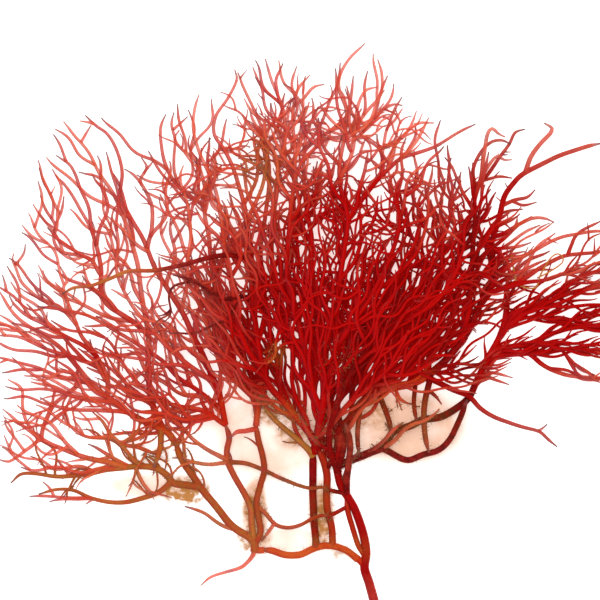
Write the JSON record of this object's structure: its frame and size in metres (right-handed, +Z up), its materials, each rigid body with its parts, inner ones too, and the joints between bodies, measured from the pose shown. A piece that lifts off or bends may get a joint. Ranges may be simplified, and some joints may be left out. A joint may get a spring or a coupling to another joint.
{
  "type": "seaweed",
  "caption": "Branched red seaweed laid flat: three bushy fronds of thin tapering forked branches that spread in a fan from bare stalks and one small holdfast disc, as a natural display prop",
  "frame": {"origin": "On the flat underside of the longer upright stalk, where the plant rests on the surface", "axes": "+X runs to the right across the spread fan, +Y runs from the holdfast towards the tips, +Z points up from the surface that the plant lies on"},
  "size_m": [0.2217, 0.1945, 0.017],
  "materials": {
    "coral_frond": "wet translucent coral red to orange-red tissue with pale tips",
    "crimson_frond": "wet translucent saturated crimson tissue",
    "dark_frond": "wet crimson tissue, dark maroon on the old lower arm",
    "holdfast_tissue": "matt silted brown-red tissue"
  },
  "bodies": {
    "root": {"frond_left": "coral_frond", "frond_centre": "crimson_frond", "frond_right": "dark_frond", "holdfast": "holdfast_tissue"}
  },
  "joints": []
}
